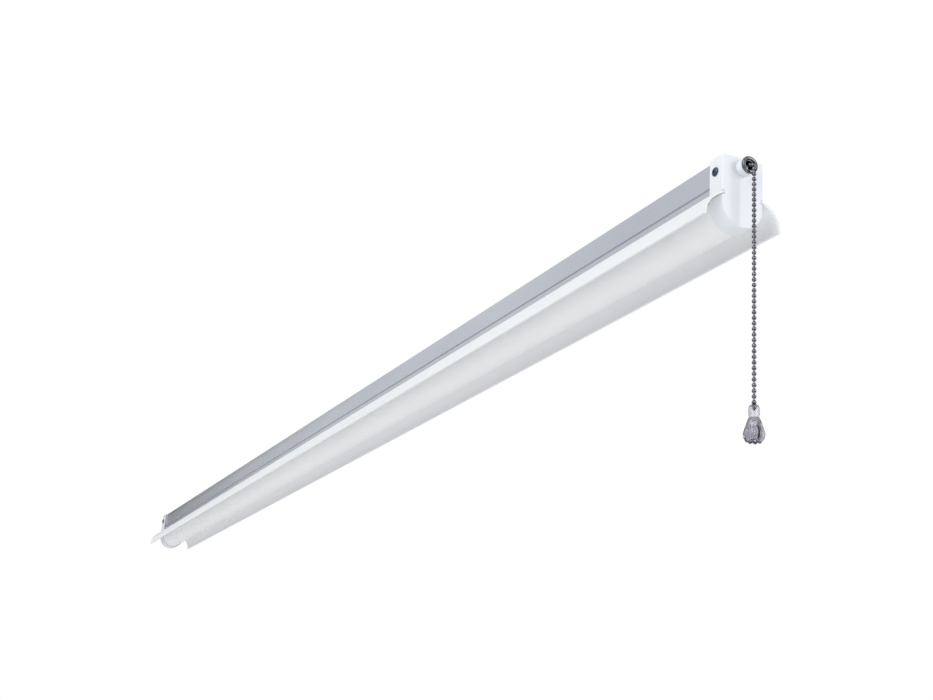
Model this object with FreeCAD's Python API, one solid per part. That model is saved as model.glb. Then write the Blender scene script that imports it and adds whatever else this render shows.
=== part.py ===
"""Slim 1.2 m shop light: aluminium channel, LED strip under a frosted U lens, two swept
reflector wings, moulded end caps and a pull-chain switch in one end.

Frame, millimetres: X along the lamp with the switch end at +X, Y across it, Z up.
The origin is the middle of the channel's top face, where it screws to a ceiling.
"""
import FreeCAD, Part
import math
import os
from FreeCAD import Vector

# ---------------------------------------------------------------- driving dimensions
LENGTH = 1200.0            # over the end caps and wings

CAP_HALF_WIDTH = 13.1      # outside of the moulded end cap
CAP_TOP = 1.5              # cap's top above the channel's top face
CAP_DEPTH = 12.0
CAP_WALL = 1.2
CAP_FRONT = 1.5            # thickness of the cap's end face
CAP_CORNER = 1.3           # radius along the cap's two top corners
CAP_EDGE = 0.8             # radius round the cap's end face
CAP_ROUND_DOWN = 3.0       # axis of the half-round bottom, below the channel
CAP_CLEARANCE = 0.15       # cap over channel and lens
END_GAP = 0.3              # channel, lens and tray stop short of the cap's end face

CHANNEL_WALL = 1.3
CHANNEL_CORNER = 0.6
GROOVE_TOP = -20.3         # outward groove that holds a wing's tongue
GROOVE_HEIGHT = 1.7
GROOVE_DEPTH = 2.05
LIP = 1.2                  # thickness of the channel's lower lip
LIP_INNER = 7.2            # half the gap between the two lower lips
LEDGE_TOP = -16.9          # rib that the LED tray lies on
LEDGE_THICK = 1.0
LEDGE_REACH = 1.25

LENS_WALL = 1.2
LENS_LEG_INNER = 5.8       # half the light slot between the lens's hooked legs
LENS_LEG = 1.1
HOOK_THICK = 1.1
SNAP_GAP = 0.2             # lens hook to channel lip

WING_THICK = 1.3
WING_RADIUS = 17.3         # outside of the wing's curve
WING_AXIS_IN = 4.55        # wing curve's axis, in from the channel's side
WING_AXIS_DOWN = 16.8      # and below the groove's top
WING_TIP_UP = 0.6          # wing's lower edge above its curve's axis
TONGUE_GAP = 0.2
SLOT_GAP = 0.25            # end cap's side slot round a wing

TRAY_THICK = 1.3
TRAY_SIDE_GAP = 0.25
TRAY_FLANGE = 2.6
BOARD_COUNT = 3
BOARD_THICK = 1.2
BOARD_WIDTH = 10.0
BOARD_GAP = 2.0
BOARD_END_MARGIN = 8.0
CHIP_LENGTH = 3.5
CHIP_WIDTH = 2.8
CHIP_THICK = 0.7
CHIPS_PER_BOARD = 24

CEILING_HOLE_R = 2.3
CEILING_HOLE_IN = 60.0     # in from the lamp's end
HANGER_SLOT_R = 2.5
HANGER_SLOT_LENGTH = 14.0
HANGER_SLOT_IN = 130.0

SCREW_X_IN = 6.45          # cap screw, back from the cap's end face
SCREW_Z = -7.6
SCREW_HEAD_R = 2.5
SCREW_HEAD_H = 1.3
SCREW_R = 1.4
SCREW_LENGTH = 5.0
SCREW_HOLE_GAP = 0.15
RECESS_HALF = 1.3          # half a screw recess's length
RECESS_SLOT = 0.3          # half its width
SCREW_CROWN = 0.65         # share of the head's radius that is flat on top

BEAD_R = 1.2               # ball chain with 2.4 mm beads
LINK_LENGTH = 0.6          # link that shows between two beads
LINK_R = 0.4
BEAD_SIDES = 8             # facets round a bead
BEAD_BANDS = 2             # facets from a bead's middle to its pole
STUB_GAP = 0.25            # link stubs stop short of the next strand's bead
LEAD_BEADS = 6             # beads inside the switch
BEADS_DOWN = 45            # beads on the hanging run, the last inside the knob
STEM_BEADS = 2
UPPER_BEADS = 19
TURN_STEPS = 2             # pitches that the quarter turn over the bell's lip takes

SWITCH_Z = -5.0            # height of the pull switch's axis
BELL_AXIS_OUT = 5.95       # centre of the bell's rolled rim, out from the end face
RIM_R = 1.1                # rolled rim of the bell mouth
THROAT_R = 1.95
BELL_WALL = 0.45
BELL_NECK_IN = 4.6         # neck's reach behind the rim's centre
BELL_FLARE = 2.3           # length over which the neck opens to the rim
FLARE_STEPS = 3            # bands of the flare
RIM_STEPS = 6              # bands of the rolled rim
BUSHING_R = 2.9
BUSHING_BORE = 1.7
BUSHING_SHORT = 1.2        # bushing ends short of the ring nut's front
RUN_GAP = 0.15             # clearance round what slides or turns
NUT_R = 4.7                # white ring nut outside the cap
NUT_LENGTH = 4.6
NUT_MOUTH_GAP = 0.7        # nut's front opening round the bell's neck
NUT_BEVEL = 0.5            # bevel round the nut's front edge
NUT_RING = 0.7             # flat ring on its front
NUT_SUNK = 0.4             # face inside the ring, behind it
LOCKNUT_FLAT = 3.55        # half across flats
LOCKNUT_THICK = 2.6

CASE_BEHIND_DRUM = 8.45    # case's back, behind the drum's axle
CASE_HALF_WIDTH = 7.0
CASE_HEIGHT = 13.2
CASE_WALL = 1.2
CASE_TOP_GAP = 0.3         # switch case under the channel's roof
DRUM_PITCH_R = 3.75        # radius at which the chain leaves the drum
DRUM_FLANGE_R = 4.3
DRUM_FLANGE = 1.6
AXLE_R = 1.0
AXLE_FIT = 0.05
CAM_LOBES = 4              # lobes left between the notches in the drum's near flange
CAM_NOTCH_R = 2.2
CAM_NOTCH_OUT = 1.2        # notch centres outside the flange's edge
CONTACT_Y = 3.6            # brass blades either side of the middle
CONTACT_HALF_WIDTH = 1.6
CONTACT_HALF_THICK = 0.4
CONTACT_OUT = 5.0          # blade behind the case
CONTACT_IN = 2.0           # blade inside the case's back wall
CASE_FRONT_GAP = 0.4       # switch case behind the locknut

KNOB_HEIGHT = 19.3
KNOB_TOP_R = 1.9
KNOB_COLLAR_R = 2.9
KNOB_WAIST_R = 3.1
KNOB_FLARE_R = 5.6
KNOB_PETALS = 8
KNOB_COLLAR = 1.4          # length of the straight collar
KNOB_WAIST_DOWN = 2.2      # waist below the collar's top edge
KNOB_SHOULDER_UP = 7.2     # heights above the foot
KNOB_WIDEST_UP = 4.8
KNOB_LIP_UP = 2.0
KNOB_SHOULDER_IN = 1.0     # radii less than the widest
KNOB_LIP_IN = 0.2
KNOB_FOOT_IN = 1.4
KNOB_FOOT_RING = 1.6       # width of the ring that the knob would stand on
KNOB_MOUTH_UP = 1.6        # bore starts above the foot
FLUTE_R = 1.4
FLUTE_FOOT_OUT = 0.8       # flute's axis outside the widest radius, at the foot
FLUTE_TOP_OUT = 1.3        # and outside the waist, at its top
FLUTE_TOP_DOWN = 2.6       # its top below the collar's top edge
KNOB_NECK = 0.4            # wall over the last bead that the knob hangs by
KNOB_BORE_GAP = 0.3        # knob's bore round the last bead
KNOB_SEAT_GAP = 0.08       # knob's inner shoulder above the last bead

GROMMET_Z = -10.0
GROMMET_BORE = 3.2
GROMMET_HOLE_R = 4.4
GROMMET_FLANGE_R = 5.6
GROMMET_FLANGE = 1.4
GROMMET_EDGE = 0.5         # bevel round the outer flange
GROMMET_INNER_SHORT = 0.3  # inner flange's radius less than the outer's

DRIVER_LENGTH = 180.0
DRIVER_IN = 260.0          # middle of the driver, in from the blank end
DRIVER_SIDE_GAP = 1.45     # driver to the channel's wall
DRIVER_HEIGHT = 11.4
DRIVER_WALL = 0.8
DRIVER_BOARD_END = 4.0     # driver's board stops short of its case
DRIVER_BOARD_THICK = 1.2
TRANSFORMER_HALF = 12.0    # half its length, and half its width
TRANSFORMER_HALF_WIDTH = 6.0
TRANSFORMER_HEIGHT = 6.8
CAPACITOR_R = 4.0
CAPACITOR_HEIGHT = 6.5
CAPACITOR_PLACES = (-60.0, -42.0, 45.0, 62.0)     # from the driver's middle
TERMINAL_IN = 88.0
TERMINAL_LENGTH = 24.0
TERMINAL_WIDTH = 15.0
TERMINAL_HEIGHT = 9.0
WIRE_SPACING = 5.0
WIRE_HOLE_R = 1.5
WIRE_HOLE_DOWN = 6.5       # wire holes' axis below the channel's roof
TERMINAL_SCREW_R = 1.6
TERMINAL_SCREW_H = 0.8
TERMINAL_SCREW_IN = 6.0    # screws either side of the block's middle

# ---------------------------------------------------------------- derived sizes
HALF = LENGTH / 2
INNER = CAP_HALF_WIDTH - CAP_WALL                 # cap cavity's half-width
BODY_HALF = INNER - CAP_CLEARANCE                 # channel's and lens's half-width
BODY_END = HALF - CAP_FRONT - END_GAP             # where channel and lens stop
GROOVE_BOTTOM = GROOVE_TOP - GROOVE_HEIGHT
GROOVE_BACK = BODY_HALF - GROOVE_DEPTH
CHANNEL_BOTTOM = GROOVE_BOTTOM - LIP
CAP_ROUND_Z = CHANNEL_BOTTOM - CAP_ROUND_DOWN     # axis of the cap's half-round bottom
WING_AXIS_Y = BODY_HALF - WING_AXIS_IN
WING_AXIS_Z = GROOVE_TOP - WING_AXIS_DOWN
WING_TIP_Z = WING_AXIS_Z + WING_TIP_UP
WALL_INNER = BODY_HALF - CHANNEL_WALL
ROOF = -CHANNEL_WALL                              # underside of the channel's top
PITCH = 2 * BEAD_R + LINK_LENGTH
RIM_PATH = TURN_STEPS * PITCH * 2 / math.pi       # radius of the chain's turn
BELL_X = HALF + BELL_AXIS_OUT
CHAIN_X = BELL_X + RIM_PATH                       # where the chain hangs
CHAIN_TOP = SWITCH_Z - RIM_PATH                   # first bead of the hanging run
DRUM_X = BELL_X - (LEAD_BEADS + 1) * PITCH        # lead and throat bead, back from the rim
DRUM_Z = SWITCH_Z - DRUM_PITCH_R
LAST_BEAD = CHAIN_TOP - (BEADS_DOWN - 1) * PITCH
KNOB_TOP = LAST_BEAD + BEAD_R + KNOB_SEAT_GAP + KNOB_NECK
DRIVER_X = -HALF + DRIVER_IN
DRIVER_WIDTH = 2 * (WALL_INNER - DRIVER_SIDE_GAP)
TERMINAL_X = -HALF + TERMINAL_IN


# ---------------------------------------------------------------- helpers
def polygon_face(points, x):
    """Face in the YZ plane at x from (y, z) points."""
    corners = [Vector(x, y, z) for y, z in points]
    return Part.Face(Part.makePolygon(corners + corners[:1]))


def both_sides(half):
    """A half outline from the Z axis outwards and back, and its mirror image."""
    return half + [(-y, z) for y, z in reversed(half) if y > 0]


def extrude(face, length):
    return face.extrude(Vector(length, 0, 0))


def u_face(half_width, top, corner, x):
    """Flat-topped outline with a half-round bottom about CAP_ROUND_Z."""
    def at(y, z):
        return Vector(x, y, z)
    slant = corner * math.sqrt(0.5)
    left = -half_width
    edges = [
        Part.LineSegment(at(left + corner, top), at(half_width - corner, top)),
        Part.Arc(at(half_width - corner, top),
                 at(half_width - corner + slant, top - corner + slant),
                 at(half_width, top - corner)),
        Part.LineSegment(at(half_width, top - corner), at(half_width, CAP_ROUND_Z)),
        Part.Arc(at(half_width, CAP_ROUND_Z), at(0, CAP_ROUND_Z - half_width),
                 at(left, CAP_ROUND_Z)),
        Part.LineSegment(at(left, CAP_ROUND_Z), at(left, top - corner)),
        Part.Arc(at(left, top - corner),
                 at(left + corner - slant, top - corner + slant),
                 at(left + corner, top)),
    ]
    return Part.Face(Part.Wire([edge.toShape() for edge in edges]))


def box(x, y, z):
    """Box from three (low, high) pairs."""
    return Part.makeBox(x[1] - x[0], y[1] - y[0], z[1] - z[0], Vector(x[0], y[0], z[0]))


def rod(radius, start, end):
    along = end - start
    return Part.makeCylinder(radius, along.Length, start, along)


def cut_all(solid, tools):
    return solid.cut(Part.makeCompound(tools)) if tools else solid


def fuse_all(solids):
    joined = solids[0].multiFuse(solids[1:]) if len(solids) > 1 else solids[0]
    return joined.removeSplitter()


def revolve_x(points, x, z):
    """Turn (distance along X from x, radius) points about the line y = 0 at height z."""
    corners = [Vector(x + along, 0, z + radius) for along, radius in points]
    face = Part.Face(Part.makePolygon(corners + corners[:1]))
    return face.revolve(Vector(x, 0, z), Vector(1, 0, 0), 360)


def revolve_z(points, x, y):
    """Turn (radius, z) points about a vertical line through x, y."""
    corners = [Vector(x + radius, y, z) for radius, z in points]
    face = Part.Face(Part.makePolygon(corners + corners[:1]))
    return face.revolve(Vector(x, y, 0), Vector(0, 0, 1), 360)


def mirror_x(solid):
    return solid.mirror(Vector(0, 0, 0), Vector(1, 0, 0))


def mirror_y(solid):
    return solid.mirror(Vector(0, 0, 0), Vector(0, 1, 0))


# ---------------------------------------------------------------- channel and what it holds
def housing():
    half = [
        (0, 0), (BODY_HALF - CHANNEL_CORNER, 0), (BODY_HALF, -CHANNEL_CORNER),
        (BODY_HALF, GROOVE_TOP), (GROOVE_BACK, GROOVE_TOP),
        (GROOVE_BACK, GROOVE_BOTTOM), (BODY_HALF, GROOVE_BOTTOM),
        (BODY_HALF, CHANNEL_BOTTOM), (LIP_INNER, CHANNEL_BOTTOM),
        (LIP_INNER, GROOVE_BOTTOM), (GROOVE_BACK - CHANNEL_WALL, GROOVE_BOTTOM),
        (GROOVE_BACK - CHANNEL_WALL, GROOVE_TOP + CHANNEL_WALL),
        (WALL_INNER, GROOVE_TOP + CHANNEL_WALL),
        (WALL_INNER, LEDGE_TOP - LEDGE_THICK),
        (WALL_INNER - LEDGE_REACH, LEDGE_TOP - LEDGE_THICK),
        (WALL_INNER - LEDGE_REACH, LEDGE_TOP), (WALL_INNER, LEDGE_TOP),
        (WALL_INNER, ROOF), (0, ROOF),
    ]
    shell = extrude(polygon_face(both_sides(half), -BODY_END), 2 * BODY_END)
    tools = []
    for side in (-1, 1):
        x = side * (HALF - CEILING_HOLE_IN)
        tools.append(rod(CEILING_HOLE_R, Vector(x, 0, ROOF - 1), Vector(x, 0, 1)))
        tools.append(hanger_slot(side * (HALF - HANGER_SLOT_IN)))
        x = side * (HALF - SCREW_X_IN)
        tools.append(rod(SCREW_R + SCREW_HOLE_GAP, Vector(x, -CAP_HALF_WIDTH, SCREW_Z),
                         Vector(x, CAP_HALF_WIDTH, SCREW_Z)))
    return cut_all(shell, tools)


def hanger_slot(x):
    reach = HANGER_SLOT_LENGTH / 2 - HANGER_SLOT_R
    middle = box((x - reach, x + reach), (-HANGER_SLOT_R, HANGER_SLOT_R), (ROOF - 1, 1))
    ends = [rod(HANGER_SLOT_R, Vector(x + s * reach, 0, ROOF - 1), Vector(x + s * reach, 0, 1))
            for s in (-1, 1)]
    return middle.multiFuse(ends)


def wing():
    """Right-hand reflector wing: a tongue in the groove and a swept quarter curve."""
    def on_arc(radius, y):
        rise = math.sqrt(radius ** 2 - (y - WING_AXIS_Y) ** 2)
        return Vector(-HALF, y, WING_AXIS_Z + rise)

    def arc(radius, start, end):
        middle = Vector(-HALF, WING_AXIS_Y + radius * math.cos(math.pi / 4),
                        WING_AXIS_Z + radius * math.sin(math.pi / 4))
        return Part.Arc(start, middle, end).toShape()

    def tip(radius):
        drop = WING_TIP_Z - WING_AXIS_Z
        return Vector(-HALF, WING_AXIS_Y + math.sqrt(radius ** 2 - drop ** 2), WING_TIP_Z)

    inner_radius = WING_RADIUS - WING_THICK
    root_y = BODY_HALF + TONGUE_GAP
    outer_root = on_arc(WING_RADIUS, root_y)
    inner_root = on_arc(inner_radius, root_y)
    back = GROOVE_BACK + TONGUE_GAP
    top = GROOVE_TOP - TONGUE_GAP
    bottom = GROOVE_BOTTOM + TONGUE_GAP
    corners = [inner_root, Vector(-HALF, root_y, bottom), Vector(-HALF, back, bottom),
               Vector(-HALF, back, top), Vector(-HALF, root_y, top), outer_root]
    corners = [p for i, p in enumerate(corners) if i == 0 or (p - corners[i - 1]).Length > 0.02]
    edges = [Part.makeLine(a, b) for a, b in zip(corners, corners[1:])]
    edges += [arc(WING_RADIUS, outer_root, tip(WING_RADIUS)),
              Part.makeLine(tip(WING_RADIUS), tip(inner_radius)),
              arc(inner_radius, tip(inner_radius), inner_root)]
    sheet = extrude(Part.Face(Part.Wire(Part.__sortEdges__(edges))), LENGTH)
    reach = CAP_FRONT + END_GAP
    ends = [box((s * HALF - reach, s * HALF + reach), (0, INNER), (GROOVE_BOTTOM, GROOVE_TOP))
            for s in (-1, 1)]
    return cut_all(sheet, ends)


def lens():
    """Frosted U with two inward shoulders and hooked legs that snap over the lips."""
    top = CHANNEL_BOTTOM - SNAP_GAP
    shoulder = top - LENS_WALL
    leg_outer = LENS_LEG_INNER + LENS_LEG
    hook_bottom = GROOVE_BOTTOM + SNAP_GAP
    hook_top = hook_bottom + HOOK_THICK
    hook_reach = GROOVE_BACK - CHANNEL_WALL - SNAP_GAP
    inner_radius = BODY_HALF - LENS_WALL

    def at(y, z):
        return Vector(-BODY_END, y, z)

    def path(points):
        return [Part.makeLine(at(*a), at(*b)) for a, b in zip(points, points[1:])]
    right = [(BODY_HALF, CAP_ROUND_Z), (BODY_HALF, top), (leg_outer, top),
             (leg_outer, hook_bottom), (hook_reach, hook_bottom), (hook_reach, hook_top),
             (LENS_LEG_INNER, hook_top), (LENS_LEG_INNER, shoulder),
             (inner_radius, shoulder), (inner_radius, CAP_ROUND_Z)]
    left = [(-y, z) for y, z in right]
    edges = path(right) + path(left)
    for radius in (BODY_HALF, inner_radius):
        edges.append(Part.Arc(at(radius, CAP_ROUND_Z), at(0, CAP_ROUND_Z - radius),
                              at(-radius, CAP_ROUND_Z)).toShape())
    section = Part.Face(Part.Wire(Part.__sortEdges__(edges)))
    return extrude(section, 2 * BODY_END)


def led_tray():
    half_width = WALL_INNER - TRAY_SIDE_GAP
    bottom = LEDGE_TOP
    top = bottom + TRAY_THICK
    half = [(0, bottom), (half_width, bottom), (half_width, top + TRAY_FLANGE),
            (half_width - TRAY_THICK, top + TRAY_FLANGE), (half_width - TRAY_THICK, top),
            (0, top)]
    start = -BODY_END + BOARD_END_MARGIN / 2
    return extrude(polygon_face(both_sides(half), start), -2 * start)


def board_span(index):
    whole = 2 * (BODY_END - BOARD_END_MARGIN)
    each = (whole - (BOARD_COUNT - 1) * BOARD_GAP) / BOARD_COUNT
    start = -BODY_END + BOARD_END_MARGIN + index * (each + BOARD_GAP)
    return start, start + each


def led_board(index):
    top = LEDGE_TOP
    return box(board_span(index), (-BOARD_WIDTH / 2, BOARD_WIDTH / 2), (top - BOARD_THICK, top))


def led_chips(index):
    start, end = board_span(index)
    step = (end - start) / CHIPS_PER_BOARD
    top = LEDGE_TOP - BOARD_THICK
    chips = []
    for number in range(CHIPS_PER_BOARD):
        x = start + (number + 0.5) * step
        chips.append(box((x - CHIP_LENGTH / 2, x + CHIP_LENGTH / 2),
                         (-CHIP_WIDTH / 2, CHIP_WIDTH / 2), (top - CHIP_THICK, top)))
    return Part.makeCompound(chips)


# ---------------------------------------------------------------- end caps
def cap_shell():
    """Cap at the +X end: a moulded cup with rounded end edges and side slots for wings."""
    back = HALF - CAP_DEPTH
    outer = extrude(u_face(CAP_HALF_WIDTH, CAP_TOP, CAP_CORNER, back), CAP_DEPTH)
    rim = [edge for edge in outer.Edges
           if all(abs(v.X - HALF) < 1e-6 for v in edge.Vertexes)]
    outer = outer.makeFillet(CAP_EDGE, rim)
    cavity = extrude(u_face(INNER, CAP_CLEARANCE, CHANNEL_CORNER, back), CAP_DEPTH - CAP_FRONT)
    slot_top = GROOVE_TOP + SLOT_GAP - TONGUE_GAP
    slot_bottom = GROOVE_BOTTOM - SLOT_GAP - TONGUE_GAP
    tools = [cavity]
    for side in (-1, 1):
        reach = sorted((side * (INNER - CAP_WALL), side * (CAP_HALF_WIDTH + 1)))
        tools.append(box((back - 1, HALF + 1), reach, (slot_bottom, slot_top)))
    x = HALF - SCREW_X_IN
    tools.append(rod(SCREW_R + SCREW_HOLE_GAP, Vector(x, -CAP_HALF_WIDTH - 1, SCREW_Z),
                     Vector(x, CAP_HALF_WIDTH + 1, SCREW_Z)))
    return cut_all(outer, tools)


def end_cap_switch():
    hole = rod(BUSHING_R + RUN_GAP, Vector(HALF - CAP_DEPTH, 0, SWITCH_Z),
               Vector(HALF + 1, 0, SWITCH_Z))
    return cap_shell().cut(hole)


def end_cap_blank():
    hole = rod(GROMMET_HOLE_R, Vector(-HALF - 1, 0, GROMMET_Z),
               Vector(-HALF + CAP_DEPTH, 0, GROMMET_Z))
    return mirror_x(cap_shell()).cut(hole)


def cap_screw(x, side):
    """Pan-head screw through the cap's side into the channel, with a cross recess."""
    top = SCREW_HEAD_H
    outline = [(-SCREW_LENGTH, 0), (-SCREW_LENGTH, SCREW_R), (0, SCREW_R), (0, SCREW_HEAD_R),
               (top / 2, SCREW_HEAD_R), (top, SCREW_HEAD_R * SCREW_CROWN), (top, 0)]
    corners = [Vector(x + radius, side * (CAP_HALF_WIDTH + out), SCREW_Z)
               for out, radius in outline]
    turned = Part.Face(Part.makePolygon(corners + corners[:1])).revolve(
        Vector(x, 0, SCREW_Z), Vector(0, 1, 0), 360)
    depth = sorted((side * (CAP_HALF_WIDTH + top / 2), side * (CAP_HALF_WIDTH + 2 * top)))
    recess = [box((x - along, x + along), depth, (SCREW_Z - across, SCREW_Z + across))
              for along, across in ((RECESS_HALF, RECESS_SLOT), (RECESS_SLOT, RECESS_HALF))]
    return turned.cut(recess[0].fuse(recess[1]))


def cap_screws(end):
    x = end * (HALF - SCREW_X_IN)
    return Part.makeCompound([cap_screw(x, side) for side in (-1, 1)])


def cord_grommet():
    """Rubber grommet in the blank cap: two flanges either side of the cap's wall."""
    neck = GROMMET_HOLE_R
    inside = GROMMET_FLANGE + CAP_FRONT
    points = [(0, GROMMET_BORE), (0, GROMMET_FLANGE_R - GROMMET_EDGE),
              (GROMMET_EDGE, GROMMET_FLANGE_R), (GROMMET_FLANGE, GROMMET_FLANGE_R),
              (GROMMET_FLANGE, neck), (inside, neck),
              (inside, GROMMET_FLANGE_R - GROMMET_INNER_SHORT),
              (inside + GROMMET_FLANGE, neck), (inside + GROMMET_FLANGE, GROMMET_BORE)]
    return revolve_x(points, -HALF - GROMMET_FLANGE, GROMMET_Z)


# ---------------------------------------------------------------- pull switch
CASE_FRONT = HALF - CAP_FRONT - LOCKNUT_THICK - CASE_FRONT_GAP
CASE_BACK = DRUM_X - CASE_BEHIND_DRUM
CASE_TOP = ROOF - CASE_TOP_GAP
CASE_BOTTOM = CASE_TOP - CASE_HEIGHT
COVER = CASE_HALF_WIDTH - CASE_WALL               # inner face of the side cover


def switch_case():
    """Moulded case, open on its +Y side, with the hollow bushing on its front."""
    outer = box((CASE_BACK, CASE_FRONT), (-CASE_HALF_WIDTH, COVER), (CASE_BOTTOM, CASE_TOP))
    cavity = box((CASE_BACK + CASE_WALL, CASE_FRONT - CASE_WALL),
                 (-COVER, CASE_HALF_WIDTH),
                 (CASE_BOTTOM + CASE_WALL, CASE_TOP - CASE_WALL))
    bushing_end = HALF + NUT_LENGTH - BUSHING_SHORT
    bushing = rod(BUSHING_R, Vector(CASE_FRONT - CASE_WALL, 0, SWITCH_Z),
                  Vector(bushing_end, 0, SWITCH_Z))
    bore = rod(BUSHING_BORE, Vector(CASE_FRONT - 2 * CASE_WALL, 0, SWITCH_Z),
               Vector(bushing_end + 1, 0, SWITCH_Z))
    socket = rod(THROAT_R + BELL_WALL, Vector(BELL_X - BELL_NECK_IN - RUN_GAP, 0, SWITCH_Z),
                 Vector(bushing_end + 1, 0, SWITCH_Z))
    axle_hole = rod(AXLE_R, Vector(DRUM_X, -CASE_HALF_WIDTH - 1, DRUM_Z),
                    Vector(DRUM_X, 0, DRUM_Z))
    body = outer.cut(cavity).fuse(bushing)
    body = cut_all(body, [bore, socket, axle_hole])
    return cut_all(body, [contact(side) for side in (-1, 1)]).removeSplitter()


def switch_cover():
    cover = box((CASE_BACK, CASE_FRONT), (COVER, CASE_HALF_WIDTH), (CASE_BOTTOM, CASE_TOP))
    hole = rod(AXLE_R, Vector(DRUM_X, 0, DRUM_Z), Vector(DRUM_X, CASE_HALF_WIDTH + 1, DRUM_Z))
    return cover.cut(hole)


def switch_axle():
    return rod(AXLE_R, Vector(DRUM_X, -CASE_HALF_WIDTH, DRUM_Z),
               Vector(DRUM_X, CASE_HALF_WIDTH, DRUM_Z))


def contact(side):
    """One brass blade through the back wall of the case."""
    y = side * CONTACT_Y
    return box((CASE_BACK - CONTACT_OUT, CASE_BACK + CASE_WALL + CONTACT_IN),
               (y - CONTACT_HALF_WIDTH, y + CONTACT_HALF_WIDTH),
               (DRUM_Z - CONTACT_HALF_THICK, DRUM_Z + CONTACT_HALF_THICK))


def switch_contacts():
    return Part.makeCompound([contact(side) for side in (-1, 1)])


def switch_drum():
    """Grooved drum that the chain pulls round, with a four-lobed cam on one flange."""
    half_groove = BEAD_R + RUN_GAP
    root = DRUM_PITCH_R - BEAD_R - RUN_GAP
    core = rod(root, Vector(DRUM_X, -half_groove, DRUM_Z), Vector(DRUM_X, half_groove, DRUM_Z))
    near = rod(DRUM_FLANGE_R, Vector(DRUM_X, half_groove, DRUM_Z),
               Vector(DRUM_X, half_groove + DRUM_FLANGE, DRUM_Z))
    far = rod(DRUM_FLANGE_R, Vector(DRUM_X, -half_groove - DRUM_FLANGE, DRUM_Z),
              Vector(DRUM_X, -half_groove, DRUM_Z))
    notches = []
    out = DRUM_FLANGE_R + CAM_NOTCH_OUT
    for turn in range(CAM_LOBES):
        angle = 2 * math.pi * (turn + 0.5) / CAM_LOBES
        centre = Vector(DRUM_X + out * math.cos(angle), half_groove,
                        DRUM_Z + out * math.sin(angle))
        notches.append(Part.makeCylinder(CAM_NOTCH_R, DRUM_FLANGE + 1, centre, Vector(0, 1, 0)))
    bore = rod(AXLE_R + AXLE_FIT, Vector(DRUM_X, -CASE_HALF_WIDTH, DRUM_Z),
               Vector(DRUM_X, CASE_HALF_WIDTH, DRUM_Z))
    body = fuse_all([core, near, far])
    return cut_all(body, notches + [bore])


def switch_locknut():
    """Hex nut on the bushing behind the cap's end face."""
    corners = []
    reach = LOCKNUT_FLAT / math.cos(math.pi / 6)
    for turn in range(6):
        angle = math.radians(60 * turn)
        corners.append((reach * math.cos(angle), SWITCH_Z + reach * math.sin(angle)))
    back = HALF - CAP_FRONT - LOCKNUT_THICK
    nut = extrude(polygon_face(corners, back), LOCKNUT_THICK)
    return nut.cut(rod(BUSHING_R, Vector(back - 1, 0, SWITCH_Z), Vector(HALF, 0, SWITCH_Z)))


def switch_ring_nut():
    """White round nut that shows as the boss on the cap's end face."""
    mouth = THROAT_R + BELL_WALL + NUT_MOUTH_GAP
    front = NUT_LENGTH
    ring = NUT_R - NUT_BEVEL - NUT_RING
    points = [(0, BUSHING_R), (0, NUT_R), (front - NUT_BEVEL, NUT_R), (front, NUT_R - NUT_BEVEL),
              (front, ring), (front - NUT_SUNK, ring), (front - NUT_SUNK, mouth),
              (front - BUSHING_SHORT, mouth), (front - BUSHING_SHORT, BUSHING_R)]
    return revolve_x(points, HALF, SWITCH_Z)


def bell_mouth():
    """Dark nickel trumpet with a rolled rim that the chain turns over."""
    neck = THROAT_R + BELL_WALL
    flare = -BELL_FLARE
    inner_rise = RIM_PATH - RIM_R - THROAT_R
    outer_rise = RIM_PATH - neck

    def sweep(base, rise, reach):
        """A quarter curve that leaves the neck straight and ends square to it."""
        angles = [math.pi / 2 * step / FLARE_STEPS for step in range(FLARE_STEPS + 1)]
        return [(flare + reach * math.sin(angle), base + rise * (1 - math.cos(angle)))
                for angle in angles]
    rim = []
    for step in range(RIM_STEPS + 1):
        angle = math.radians(-90 + 270 * step / RIM_STEPS)
        rim.append((RIM_R * math.cos(angle), RIM_PATH + RIM_R * math.sin(angle)))
    outline = [(-BELL_NECK_IN, THROAT_R)] + sweep(THROAT_R, inner_rise, BELL_FLARE)[:-1] + rim
    outline += sweep(neck, outer_rise, BELL_FLARE - RIM_R)[-2::-1] + [(-BELL_NECK_IN, neck)]
    return revolve_x(outline, BELL_X, SWITCH_Z)


# ---------------------------------------------------------------- ball chain
def faceted_turn(profile, sides, base, along):
    """Closed solid of flat facets: (radius, distance) points turned in equal steps about
    the line from base along a direction."""
    across = along.cross(Vector(0, 1, 0)).normalize()
    beside = along.cross(across)

    def ring(radius, distance):
        points = []
        for number in range(sides):
            angle = 2 * math.pi * (number + 0.5) / sides
            points.append(base + along * distance + across * (radius * math.cos(angle))
                          + beside * (radius * math.sin(angle)))
        return points
    rings = [ring(*point) for point in profile]
    loops = [rings[0], rings[-1]]
    for low, high in zip(rings, rings[1:]):
        for number in range(sides):
            after = (number + 1) % sides
            loops.append([low[number], low[after], high[after], high[number]])
    faces = [Part.Face(Part.makePolygon(loop + loop[:1])) for loop in loops]
    solid = Part.Solid(Part.makeShell(faces))
    if solid.Volume < 0:
        solid.reverse()
    return solid


def strand(start, along, count, lead_in, lead_out):
    """Beads in a row on their links, as one solid. Stubs reach towards the next strands."""
    stub = PITCH / 2 - STUB_GAP
    pole = math.acos(LINK_R / BEAD_R)
    profile = [(LINK_R, -stub)] if lead_in else []
    for number in range(count):
        for band in range(-BEAD_BANDS, BEAD_BANDS + 1):
            turn = pole * band / BEAD_BANDS
            profile.append((BEAD_R * math.cos(turn), number * PITCH + BEAD_R * math.sin(turn)))
    if lead_out:
        profile.append((LINK_R, (count - 1) * PITCH + stub))
    return faceted_turn(profile, BEAD_SIDES, start, along)


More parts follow.
